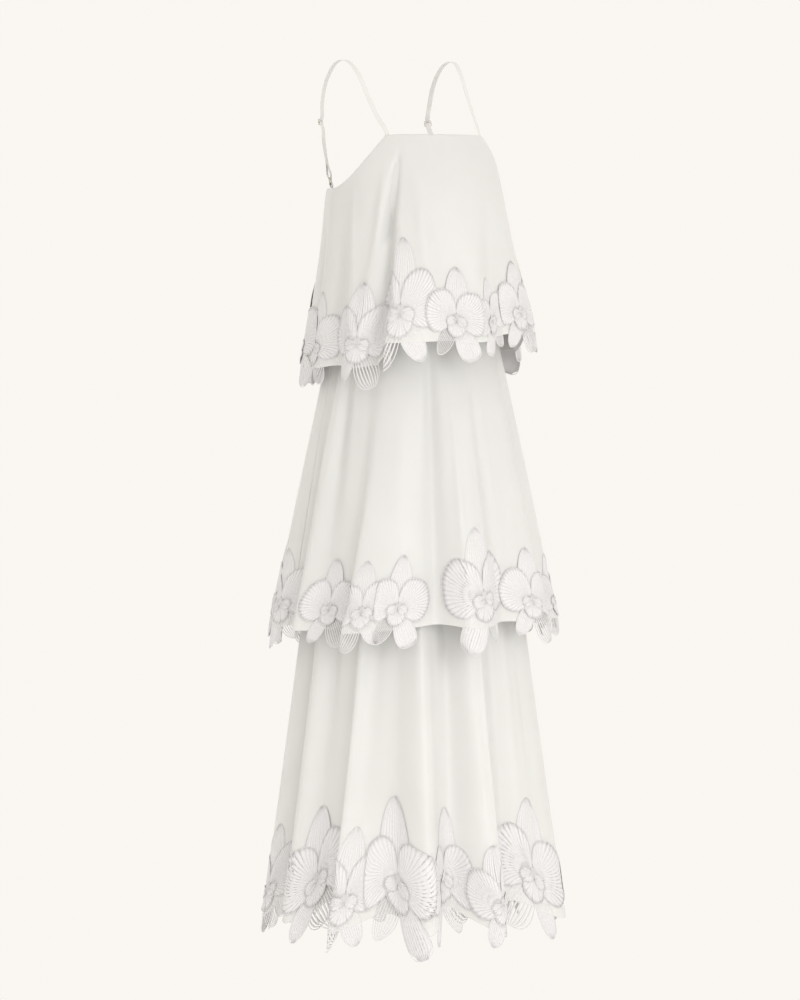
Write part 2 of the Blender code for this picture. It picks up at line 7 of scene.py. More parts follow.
import bpy
import numpy as np
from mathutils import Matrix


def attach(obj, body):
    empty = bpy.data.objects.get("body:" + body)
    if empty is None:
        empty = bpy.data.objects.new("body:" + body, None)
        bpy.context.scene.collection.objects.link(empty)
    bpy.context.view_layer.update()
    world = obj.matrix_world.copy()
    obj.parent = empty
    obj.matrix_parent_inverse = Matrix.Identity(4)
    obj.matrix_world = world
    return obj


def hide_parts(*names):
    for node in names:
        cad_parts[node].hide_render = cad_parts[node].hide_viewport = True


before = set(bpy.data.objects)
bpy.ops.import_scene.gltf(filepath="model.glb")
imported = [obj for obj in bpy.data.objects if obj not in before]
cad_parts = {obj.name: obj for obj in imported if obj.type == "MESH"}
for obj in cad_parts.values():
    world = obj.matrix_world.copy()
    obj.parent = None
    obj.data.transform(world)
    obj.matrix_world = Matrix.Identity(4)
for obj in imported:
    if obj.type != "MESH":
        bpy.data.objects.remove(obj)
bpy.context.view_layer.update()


# The slip: the full-length base of the dress, in polyester crepe-back satin, cut in a front and a back
# and sewn at the sides. It flares below the waist, and its lower part shows as the bottom tier.

# The neck edge's eggs, which slip and top tier share: height, half width, depth in front, depth behind.
neck_eggs = [
    (-0.121, 0.1230, 0.1020, 0.1100),
    (-0.160, 0.1350, 0.1200, 0.1190),
    (-0.210, 0.1415, 0.1380, 0.1250),
]
bust_egg = (-0.300, 0.1485, 0.1580, 0.1250)
# The upright line that the angles go round, and the slip's waist seam.
axis_y = -0.060
waist_z = -0.400

slip = {
    # Height, half width, depth in front, depth behind.
    "eggs": [
        (-0.121, 0.1207, 0.0997, 0.1077),
        (-0.160, 0.1310, 0.1150, 0.1140),
        (-0.210, 0.1375, 0.1320, 0.1190),
        (-0.290, 0.1340, 0.1270, 0.1140),
        (-0.400, 0.1270, 0.1100, 0.1040),
        (-0.660, 0.1510, 0.1390, 0.1310),
        (-1.390, 0.2200, 0.2140, 0.1880),
    ],
    # Crest, reach to its left and right, height at the hem, and how far the crest leans over.
    "folds": [
        (-163, 14, 14, 0.034, 2),
        (-134, 15, 15, 0.038, -3),
        (-105, 14, 14, 0.034, 2),
        (-78, 13, 13, 0.036, -3),
        (-47, 11, 14, 0.045, -10),
        (-25, 14, 13, 0.044, 4),
        (1, 13, 13, 0.040, 5),
        (46, 27, 20, 0.038, 0),
        (86, 14, 13, 0.034, 2),
        (113, 14, 14, 0.038, 3),
        (141, 14, 14, 0.034, -3),
        (169, 14, 14, 0.038, 2),
    ],
    # Soft creases: angle at top and foot, height of top and foot, width in degrees, depth out or in.
    "creases": [
        (-70, -73, -0.52, -1.46, 4.4, -0.0130),
        (-42, -43, -0.56, -1.46, 4.4, -0.0120),
        (-24, -24, -0.56, -1.46, 5.0, 0.0060),
        (-19, -20, -0.86, -1.46, 2.4, 0.0034),
        (-8, -7, -0.50, -1.46, 5.0, -0.0160),
        (4, 7, -0.62, -1.46, 2.2, 0.0050),
        (5, 8, -0.62, -1.46, 2.0, 0.0036),
        (14, 15, -0.56, -1.46, 4.0, -0.0120),
        (27, 28, -0.70, -1.46, 3.0, 0.0040),
        (36, 37, -0.80, -1.46, 3.4, -0.0040),
        (60, 60, -0.62, -1.46, 4.0, -0.0060),
        (72, 73, -0.66, -1.46, 3.8, -0.0070),
        (98, 100, -0.60, -1.46, 3.6, -0.0070),
        (128, 127, -0.70, -1.46, 3.4, -0.0060),
        (134, 135, -0.92, -1.46, 2.4, 0.0032),
        (155, 155, -0.60, -1.46, 3.8, -0.0080),
        (178, 182, -0.74, -1.46, 2.8, -0.0050),
        (-176, -179, -1.00, -1.46, 2.4, 0.0030),
        (-149, -148, -0.58, -1.46, 3.8, -0.0080),
        (-120, -119, -0.68, -1.46, 3.2, -0.0060),
        (-112, -113, -0.98, -1.46, 2.2, 0.0030),
        (-91, -92, -0.62, -1.46, 3.4, -0.0070),
    ],
    "hem": [(-180, -1.386), (-100, -1.366), (-30, -1.374), (60, -1.368), (180, -1.386)],
    "fold_start": -0.430,
    "growth": 1.5,
    "valley_lift": 0.038,
}


def smooth_step(x):
    """0 below 0, 1 above 1, and an S-shaped rise between."""
    x = np.clip(x, 0, 1)
    return x * x * (3 - 2 * x)


def wrapped(angle):
    """The same angle between -180 and 180."""
    return (angle + 180) % 360 - 180


def unit(v):
    """Vectors of length one in the same directions."""
    return v / np.maximum(np.linalg.norm(v, axis=-1, keepdims=True), 1e-12)


def smooth_rows(rows, where):
    """The columns of a table at each value of where: a cubic through the rows, with the slope at each
    row taken from its neighbours. The end cubics run on past the table by part of a step."""
    rows = np.array(sorted(rows), float)
    key, values = rows[:, 0], rows[:, 1:]
    slopes = np.gradient(values, key, axis=0)
    n = np.clip(np.searchsorted(key, where) - 1, 0, len(key) - 2)
    step = key[n + 1] - key[n]
    beyond = 0.3
    t = np.clip((where - key[n]) / step, -beyond, 1 + beyond)[..., None]
    step = step[..., None]
    low, high = values[n], values[n + 1]
    rise = (low * (1 + 2 * t) + slopes[n] * step * t) * (1 - t) ** 2
    fall = (high * (3 - 2 * t) + slopes[n + 1] * step * (t - 1)) * t ** 2
    return rise + fall


def ridge(angle, crest, left, right):
    """How far an angle is up a fold: a cosine bell, 1 on the crest and 0 from its reach outwards."""
    away = wrapped(angle - crest)
    share = np.clip(away / np.where(away < 0, left, right), -1, 1)
    return 0.5 + 0.5 * np.cos(np.pi * share)


def hem_z(tier, angle):
    """The hem's height: its table, lifted a little in the valleys between folds."""
    table = np.array(tier["hem"], float)
    level = np.interp(wrapped(angle), table[:, 0], table[:, 1])
    crest = np.minimum(1, sum(ridge(angle, *fold[:3]) for fold in tier["folds"]))
    return level + tier["valley_lift"] * (1 - crest)


def creases_at(tier, angle, z):
    """How far the creases push the cloth out: bells across a slanting line, which widen down it and
    fade at its ends."""
    push = np.zeros(np.broadcast(angle, z).shape)
    narrow, widening, fade_in, fade_out = 0.55, 0.6, 0.35, 0.16
    for top_angle, foot_angle, top_z, foot_z, width, depth in tier["creases"]:
        along = (top_z - z) / (top_z - foot_z)
        line = top_angle + (foot_angle - top_angle) * along
        away = wrapped(angle - line) / (width * (narrow + widening * np.clip(along, 0, 1)))
        fade = smooth_step(along / fade_in) * smooth_step((1 - along) / fade_out)
        push = push + depth * fade * np.exp(-(away ** 2))
    return push


def cloth_point(tier, angle, z):
    """A point of a tier's outer face: its egg at that height, pushed out by folds that grow from their
    start to the hem, with crests that lean over, and by its creases."""
    angle, z = np.broadcast_arrays(np.asarray(angle, float), np.asarray(z, float))
    fall = (tier["fold_start"] - z) / (tier["fold_start"] - hem_z(tier, angle))
    grown = np.clip(fall, 0, None) ** tier["growth"]
    swell, drift = creases_at(tier, angle, z), np.zeros(angle.shape)
    for crest, left, right, height, lean in tier["folds"]:
        up = grown * ridge(angle, crest, left, right)
        swell = swell + height * up
        drift = drift + lean * up
    half_width, front, back = np.moveaxis(smooth_rows(tier["eggs"], z), -1, 0)
    turn = np.radians(angle + drift)
    depth = np.where(np.cos(turn) > 0, front, back)
    place = np.stack([half_width * np.sin(turn), axis_y - depth * np.cos(turn), z], -1)
    out = unit(np.stack([np.sin(turn) * depth, -np.cos(turn) * half_width, np.zeros(z.shape)], -1))
    return place + out * swell[..., None]


def neck_edge_z(angle):
    """The neck edge: level across the front, then a soft corner and a nearly straight fall along the
    armhole, which flattens out to the level back."""
    front_z, drop = -0.121, 0.085
    corner_angle, armhole_angle, softness = 45, 49, 0.05
    past = (np.abs(wrapped(angle)) - corner_angle) / armhole_angle
    past = (past + np.hypot(past, softness)) / 2
    return front_z - drop * np.sin(np.pi / 2 * np.minimum(past, 1))


def away_from_axis(points):
    """Level directions from the dress's upright axis out to the points."""
    return unit((points - np.array([0, axis_y, 0])) * [1, 1, 0])


def side_angles(side, steps):
    """Angles from one side seam to the other, closer together beside the seams."""
    near = np.array([0.06, 0.30, 0.65, 1.1, 1.7])
    inner = np.linspace(2.5, 177.5, steps)
    return (-90 if side == "front" else 90) + np.concatenate([near, inner, 180 - near[::-1]])


def seam_groove(angle):
    """How far the cloth dips where the sides are sewn: a narrow bell on the seam."""
    deep, half_angle = 0.0005, 0.75
    return deep * np.exp(-(((90 - np.abs(wrapped(angle))) / half_angle) ** 2))


def grid_faces(rows, columns, ring=False):
    """Four-cornered faces of a grid; ring closes it from the last row to the first."""
    r, c = np.meshgrid(np.arange(rows if ring else rows - 1), np.arange(columns - 1), indexing="ij")
    a, b = r * columns + c, (r + 1) % rows * columns + c
    return np.stack([a, b, b + 1, a + 1], -1).reshape(-1, 4)


def tube_faces(rings, sides, closed=False):
    """Faces of a tube of rings: an open one has a cap at each end, and a closed one meets itself."""
    total = rings * sides
    first = np.arange(rings if closed else rings - 1)[:, None] * sides
    a, b = first + np.arange(sides), first + (np.arange(sides) + 1) % sides
    faces = np.stack([a, b, (b + sides) % total, (a + sides) % total], -1).reshape(-1, 4).tolist()
    if not closed:
        faces += [list(range(sides))[::-1], list(range(total - sides, total))]
    return faces


def turned_over(faces):
    """The same faces, seen from their other side."""
    return [[face[0], *face[:0:-1]] for face in faces]


def add_mesh(name, points, faces, uv, finishes, slots=None):
    """A smooth mesh from points, faces, flat cloth coordinates in metres, and its materials."""
    mesh = bpy.data.meshes.new(name)
    mesh.from_pydata(points.reshape(-1, 3).tolist(), [], faces)
    corners = np.zeros(len(mesh.loops), np.int32)
    mesh.loops.foreach_get("vertex_index", corners)
    layer = mesh.uv_layers.new(name="flat")
    layer.data.foreach_set("uv", uv.reshape(-1, 2)[corners].ravel())
    for finish in finishes:
        mesh.materials.append(finish)
    if slots is not None:
        mesh.polygons.foreach_set("material_index", slots)
    mesh.shade_smooth()
    made = bpy.data.objects.new(name, mesh)
    bpy.context.scene.collection.objects.link(made)
    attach(made, "root")
    return made


def flat_cloth(outer):
    """Flat cloth coordinates of a grid: the distances across it and down it, in metres."""
    across = np.linalg.norm(np.diff(outer, axis=1, prepend=outer[:, :1]), axis=-1).cumsum(1)
    down = np.linalg.norm(np.diff(outer, axis=0, prepend=outer[:1]), axis=-1).cumsum(0)
    return np.stack([across - across[:, -1:] / 2, down], -1)


def cloth_wall(name, outer, finish):
    """A cloth piece on an outer grid: a closed wall with its inner face set in by the cloth's thickness,
    and round edges."""
    thickness = 0.0008
    rows, columns = outer.shape[:2]
    down, across = np.gradient(outer, axis=0), np.gradient(outer, axis=1)
    out = unit(np.cross(down, across))
    inner = outer - out * thickness
    middle = (outer + inner) / 2
    foot = middle[-1:] + unit(down[-1:]) * thickness / 2
    head = middle[:1] - unit(down[:1]) * thickness / 2
    points = np.concatenate([outer, foot, inner[::-1], head])
    faces = grid_faces(2 * rows + 2, columns, ring=True).tolist()
    r = np.arange(rows - 1)
    for c, order in ((0, 1), (columns - 1, -1)):
        outside, inside = r * columns + c, (2 * rows - r) * columns + c
        caps = np.stack([outside, inside, inside - columns, outside + columns], -1)[:, ::order]
        ends = np.array([
            [(rows - 1) * columns + c, (rows + 1) * columns + c, rows * columns + c],
            [c, (2 * rows + 1) * columns + c, 2 * rows * columns + c],
        ])[:, ::order]
        faces += caps.tolist() + ends.tolist()
    uv = flat_cloth(outer)
    uv = np.concatenate([uv, uv[-1:], uv[::-1], uv[:1]])
    return add_mesh(name, points, faces, uv, [finish])


def linear(code):
    """An sRGB hex colour as linear light, with full alpha."""
    part = np.array([int(code[n:n + 2], 16) for n in (0, 2, 4)]) / 255
    part = np.where(part <= 0.04045, part / 12.92, ((part + 0.055) / 1.055) ** 2.4)
    return (*part.tolist(), 1.0)


def add_node(tree, kind, links=None, **settings):
    """A node with its settings by property or socket name, and its links as socket: (node, output)."""
    made = tree.nodes.new(kind)
    for name, value in settings.items():
        if hasattr(made, name):
            setattr(made, name, value)
        else:
            made.inputs[name.replace("_", " ")].default_value = value
    for socket, (source, output) in (links or {}).items():
        tree.links.new(source.outputs[output], made.inputs[socket])
    return made


def new_material(name, **shader_sockets):
    """An empty node material with a Principled shader, as (material, tree, shader)."""
    made = bpy.data.materials.new(name)
    made.use_nodes = True
    tree = made.node_tree
    shader = tree.nodes["Principled BSDF"]
    for socket, value in shader_sockets.items():
        shader.inputs[socket.replace("_", " ")].default_value = value
    return made, tree, shader


def two_tones(tree, shader, noise, dark, light, low=0.0, high=1.0):
    """Colours the shader from dark to light as a noise goes from low to high."""
    tone = add_node(tree, "ShaderNodeValToRGB", {"Fac": (noise, "Fac")})
    for stop, place, code in zip(tone.color_ramp.elements, (low, high), (dark, light)):
        stop.position = place
        stop.color = linear(code)
    tree.links.new(tone.outputs["Color"], shader.inputs["Base Color"])


def raised(tree, shader, pattern, strength, distance):
    """Raises the surface a little along a pattern, by a bump."""
    bump = add_node(tree, "ShaderNodeBump", {"Height": (pattern, "Fac")})
    bump.inputs["Strength"].default_value = strength
    bump.inputs["Distance"].default_value = distance
    tree.links.new(bump.outputs["Normal"], shader.inputs["Normal"])


# Polyester crepe-back satin, woven and piece dyed ivory: a smooth cloth whose floats run down the
# piece, so it has a soft wide gloss, a fine crepe grain and slightly cloudy colour.
satin, tree, shader = new_material(
    "ivory_crepe_satin", Roughness=0.46, IOR=1.50, Sheen_Weight=0.12, Sheen_Roughness=0.35,
    Subsurface_Weight=0.55, Subsurface_Radius=(1.0, 0.98, 0.94), Subsurface_Scale=0.0016
)
flat = add_node(tree, "ShaderNodeUVMap", uv_map="flat")
clouds = add_node(tree, "ShaderNodeTexNoise", {"Vector": (flat, "UV")}, Scale=7.0, Detail=3.0)
two_tones(tree, shader, clouds, "DADAD8", "DEDEDC", low=0.30, high=0.72)
# The real grain is about 0.3 mm; it is drawn 1 mm wide and 2.4 mm long so that it shows.
grain_space = add_node(tree, "ShaderNodeMapping", {"Vector": (flat, "UV")}, Scale=(1000, 420, 1))
grain = add_node(tree, "ShaderNodeTexNoise", {"Vector": (grain_space, "Vector")}, Scale=1.0, Detail=2.0)
raised(tree, shader, grain, strength=0.25, distance=0.0003)

# Rows of the slip's grid, as shares of the way down: millimetres apart beside the neck edge and the hem.
bodice_rows = np.concatenate([np.array([0, 1, 2.2, 4, 7, 12]) / 270, np.linspace(0.075, 1, 22)])
skirt_rows = np.concatenate([np.linspace(0, 1, 120)[1:-1], 1 - np.array([6, 4.6, 3, 1.4, 0]) / 980])


def slip_grid(side):
    """The slip's outer face: neck edge to waist, then waist to hem; its edge lies just inside the top
    tier's, and leaves it over the first 35 mm."""
    inside_by, leaves_over = 0.0012, 0.035
    angle = side_angles(side, 168)
    edge, hem = neck_edge_z(angle), hem_z(slip, angle)
    z = np.concatenate([
        edge + (waist_z - edge) * bodice_rows[:, None],
        waist_z + (hem - waist_z) * skirt_rows[:, None],
    ])
    angle = np.broadcast_to(angle, z.shape)
    wall = cloth_point(slip, angle, z)
    joined = cloth_point({**slip, "eggs": neck_eggs + [bust_egg]}, angle, z)
    joined = joined - away_from_axis(joined) * inside_by
    free = smooth_step((edge - z) / leaves_over)[..., None]
    wall = joined * (1 - free) + wall * free
    return wall - away_from_axis(wall) * seam_groove(angle)[..., None]


slip_front = cloth_wall("satin_slip_front", slip_grid("front"), satin)
slip_back = cloth_wall("satin_slip_back", slip_grid("back"), satin)
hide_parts("slip_front")
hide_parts("slip_back")


# The middle tier: a flared skirt of the same satin, gathered a little into the slip's waist seam, where
# it is sewn on under the top tier. It falls free, in deep soft folds, to its own hem.
middle_tier = {
    "eggs": [
        (-0.400, 0.1290, 0.1120, 0.1060),
        (-0.545, 0.1565, 0.1430, 0.1370),
        (-0.915, 0.2200, 0.2080, 0.2040),
    ],
    "folds": [
        (-157, 13, 14, 0.026, 2),
        (-128, 15, 14, 0.024, -3),
        (-99, 15, 14, 0.022, 2),
        (-71, 13, 13, 0.027, -6),
        (-40, 14, 25, 0.033, -12),
        (3, 17, 15, 0.027, -4),
        (35, 15, 14, 0.026, 2),
        (64, 15, 14, 0.019, -2),
        (93, 15, 14, 0.019, 2),
        (121, 14, 14, 0.027, 3),
        (148, 13, 13, 0.024, -3),
        (175, 14, 14, 0.028, 2),
    ],
    "creases": [
        (-68, -66, -0.40, -1.00, 5.0, -0.0150),
        (-78, -78, -0.43, -1.00, 3.4, 0.0050),
        (-30, -28, -0.52, -0.86, 5.0, 0.0024),
        (-14, -16, -0.41, -1.00, 5.0, -0.0135),
        (-2, -2, -0.48, -1.00, 2.6, 0.0034),
        (13, 16, -0.44, -1.00, 4.4, -0.0070),
        (9, 10, -0.60, -0.96, 2.4, 0.0026),
        (48, 49, -0.44, -1.00, 4.0, -0.0060),
        (79, 78, -0.46, -1.00, 3.6, -0.0050),
        (107, 107, -0.44, -1.00, 3.8, -0.0060),
        (114, 115, -0.60, -1.00, 2.4, 0.0026),
        (134, 135, -0.46, -1.00, 3.6, -0.0070),
        (161, 161, -0.44, -1.00, 3.8, -0.0060),
        (-171, -170, -0.46, -1.00, 4.0, -0.0070),
        (-142, -143, -0.44, -1.00, 3.6, -0.0060),
        (-135, -134, -0.62, -1.00, 2.2, 0.0024),
        (-113, -114, -0.46, -1.00, 3.8, -0.0060),
        (-85, -85, -0.48, -1.00, 3.6, -0.0060),
    ],
    "hem": [(-180, -0.906), (-90, -0.902), (-45, -0.904), (-15, -0.896), (60, -0.894), (180, -0.906)],
    "fold_start": -0.400,
    "growth": 1.35,
    "valley_lift": 0.006,
}
tier_rows = np.concatenate([np.linspace(0, 1, 92)[:-2], 1 - np.array([6, 4.6, 3, 1.4, 0]) / 500])


def middle_grid(side):
    """The middle tier's outer face, from just under the waist seam to its hem."""
    below_seam = 0.0006
    angle = side_angles(side, 150)
    z = waist_z - below_seam + (hem_z(middle_tier, angle) - waist_z) * tier_rows[:, None]
    angle = np.broadcast_to(angle, z.shape)
    wall = cloth_point(middle_tier, angle, z)
    return wall - away_from_axis(wall) * seam_groove(angle)[..., None]


middle_front = cloth_wall("satin_middle_tier_front", middle_grid("front"), satin)
middle_back = cloth_wall("satin_middle_tier_back", middle_grid("back"), satin)
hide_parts("middle_tier_front")
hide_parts("middle_tier_back")


# The top tier: a loose trapeze layer of the same satin, sewn to the slip round the neck edge and turned,
# so that the edge is a clean fold. One deep fold falls from the wearer's right front.
top_tier = {
    "eggs": neck_eggs + [bust_egg, (-0.460, 0.1675, 0.1890, 0.1360)],
    "folds": [
        (-149, 16, 15, 0.018, 2),
        (-117, 16, 14, 0.016, -2),
        (-88, 14, 13, 0.012, 2),
        (-62, 12, 13, 0.014, 2),
        (-33, 10, 26, 0.028, -8),
        (8, 17, 16, 0.013, 0),
        (52, 25, 20, 0.027, 3),
        (88, 16, 15, 0.016, -2),
        (119, 15, 16, 0.018, 2),
        (150, 15, 15, 0.015, -2),
        (180, 15, 15, 0.018, 2),
    ],
    "creases": [
        (-33, -46, -0.135, -0.30, 3.4, -0.0100),
        (-36, -50, -0.150, -0.52, 4.6, -0.0080),
        (-43, -60, -0.150, -0.46, 4.6, 0.0066),
        (-25, -15, -0.160, -0.44, 5.0, 0.0052),
        (-69, -63, -0.190, -0.50, 4.2, 0.0056),
        (-76, -74, -0.230, -0.56, 4.0, -0.0045),
        (30, 14, -0.190, -0.46, 9.0, -0.0036),
        (44, 34, -0.240, -0.52, 6.0, 0.0026),
        (76, 72, -0.220, -0.54, 5.0, -0.0060),
        (104, 103, -0.240, -0.54, 4.6, -0.0050),
        (133, 134, -0.235, -0.54, 4.6, -0.0050),
        (141, 143, -0.260, -0.50, 3.4, 0.0028),
        (166, 165, -0.230, -0.54, 4.6, -0.0060),
        (-164, -165, -0.235, -0.54, 4.6, -0.0050),
        (-133, -133, -0.235, -0.54, 4.6, -0.0050),
        (-124, -123, -0.260, -0.50, 3.4, 0.0028),
        (-102, -102, -0.235, -0.54, 4.2, -0.0050),
    ],
    "hem": [
        (-180, -0.486), (-115, -0.492), (-50, -0.488), (-40, -0.448), (0, -0.450),
        (31, -0.440), (60, -0.432), (80, -0.462), (135, -0.484), (180, -0.486),
    ],
    "fold_start": -0.165,
    "growth": 1.25,
    "valley_lift": 0.004,
}
top_rows = np.concatenate([
    np.array([0, 1, 2.2, 4, 6, 9]) / 330,
    np.linspace(0.04, 1, 86)[:-2],
    1 - np.array([6, 4.6, 3, 1.4, 0]) / 330,
])


def top_grid(side):
    """The top tier's outer face, from the neck edge, which rolls in a little, to its hem."""
    roll_depth, roll_height = 0.0008, 0.0022
    angle = side_angles(side, 160)
    edge = neck_edge_z(angle)
    z = edge + (hem_z(top_tier, angle) - edge) * top_rows[:, None]
    roll = roll_depth * np.exp(-(((edge - z) / roll_height) ** 2))
    angle = np.broadcast_to(angle, z.shape)
    wall = cloth_point(top_tier, angle, z)
    return wall - away_from_axis(wall) * (seam_groove(angle) + roll)[..., None]


top_front = cloth_wall("satin_top_tier_front", top_grid("front"), satin)
top_back = cloth_wall("satin_top_tier_back", top_grid("back"), satin)
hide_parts("top_tier_front")
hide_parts("top_tier_back")


# The orchids: appliques of organza with petals filled by fanning satin-stitch ribs, each petal edged
# with a fine cord. They are sewn flat along each hem, and their lower sepals hang below it, free.

# Viscose machine-embroidery thread, laid in close satin stitch: whiter than the cloth, with a silky
# gloss across the stitches.
thread, tree, shader = new_material(
    "white_viscose_thread", Roughness=0.45, IOR=1.48, Sheen_Weight=0.2, Sheen_Roughness=0.4
)
flat = add_node(tree, "ShaderNodeUVMap", uv_map="flat")
shade = add_node(tree, "ShaderNodeTexNoise", {"Vector": (flat, "UV")}, Scale=260.0, Detail=2.0)
two_tones(tree, shader, shade, "DDDCDD", "E5E4E5", low=0.30, high=0.70)
# Real stitches are 0.4 mm apart; they are drawn 2.6 mm apart, wavering, so that they show.
stitches = add_node(
    tree, "ShaderNodeTexWave", {"Vector": (flat, "UV")}, bands_direction="DIAGONAL",
    Scale=170.0, Distortion=1.5
)
raised(tree, shader, stitches, strength=0.3, distance=0.0003)

# Polyester organza, plain woven from fine twisted yarn: thin, crisp and half sheer, so between the
# ribs it reads a little greyer than the cloth.
organza, tree, shader = new_material("sheer_organza", Roughness=0.50, IOR=1.50, Alpha=0.94)
flat = add_node(tree, "ShaderNodeUVMap", uv_map="flat")
net = add_node(tree, "ShaderNodeTexNoise", {"Vector": (flat, "UV")}, Scale=420.0, Detail=1.0)
two_tones(tree, shader, net, "DCDBDC", "E4E3E4", low=0.35, high=0.65)


def measure_hem(tier):
    """Adds the distances round a tier's hem to the angles they belong to, for placing the orchids, and
    the angle at which each shows once the crests have leant over."""
    angles = np.linspace(-180, 180, 721)
    line = cloth_point(tier, angles, hem_z(tier, angles))
    lean = sum(fold[4] * ridge(angles, *fold[:3]) for fold in tier["folds"])
    tier["shown"] = np.maximum.accumulate(angles + lean)
    steps = np.linalg.norm(np.diff(line, axis=0), axis=1)
    tier["angles"] = angles
    tier["stations"] = np.concatenate([[0], steps.cumsum()])
    tier["girth"] = tier["stations"][-1]


def on_cloth(tier, station, height):
    """A place on a tier and its outward direction. The station runs round the hem and the height up
    from it; below the hem the line runs on, turned part of the way to plumb."""
    step_up, step_round, towards_plumb = 0.006, 0.3, 0.8
    angle = np.interp(station % tier["girth"], tier["stations"], tier["angles"])
    z = hem_z(tier, angle) + np.maximum(height, 0)
    here = cloth_point(tier, angle, z)
    down = unit(here - cloth_point(tier, angle, z + step_up))
    across = cloth_point(tier, angle + step_round, z) - cloth_point(tier, angle - step_round, z)
    out = unit(np.cross(down, across))
    fall = unit(down + np.array([0, 0, -towards_plumb]))
    return here + fall * np.maximum(-height, 0)[..., None], out


def fan_petal(flower, u, v, lean, spread, length, roundness, lift, cup, ruffle, waves, side=1):
    """A petal that fans out from the centre. u runs across it from -1 to 1 and v outwards: the reach is
    a power of a cosine of u with two slight waves, the spread widens with v, and the rim lifts and
    ruffles. It is pressed narrower where it would pass its room beside a neighbour."""
    size, turn, phase = flower["size"], flower["turn"], flower["phase"]
    reach = size * length * np.cos(np.pi / 2 * u) ** roundness
    reach = reach * (1 + 0.025 * np.sin(5.2 * u + phase) * v + 0.012 * np.sin(13 * u + 2 * phase) * v)
    line = np.radians(side * (lean + spread * u * (0.70 + 0.30 * v)) + turn)
    x, y = reach * v * np.sin(line), reach * v * np.cos(line)
    room = np.where(x > 0, flower["right_room"], flower["left_room"])
    x = x * (1 + (np.abs(x) / room) ** 8) ** -0.1
    rise = lift + cup * v ** 2 + ruffle * v ** 2 * np.sin(waves * np.pi * u + phase)
    return np.stack([x, y, rise], -1)


def blade_petal(flower, u, v, lean, length, half_width, base, tip, lift, cup, side=1):
    """A sepal whose lines run from end to end. The half width is a product of powers of v and 1 - v,
    so base and tip set how blunt each end is. Its middle lies a little lower than its edges, which cup
    moves up or down towards the tip."""
    dish = 0.0006
    size, turn = flower["size"], np.radians(flower["turn"] + side * lean)
    widest = base / (base + tip)
    top = widest ** base * (1 - widest) ** tip
    half = half_width * size * np.clip(v, 0, 1) ** base * np.clip(1 - v, 0, 1) ** tip / top
    off, along = side * u * half, length * size * v
    x = along * np.sin(turn) + off * np.cos(turn)
    y = along * np.cos(turn) - off * np.sin(turn)
    return np.stack([x, y, lift + cup * u ** 2 * v - dish * (1 - u ** 2)], -1)


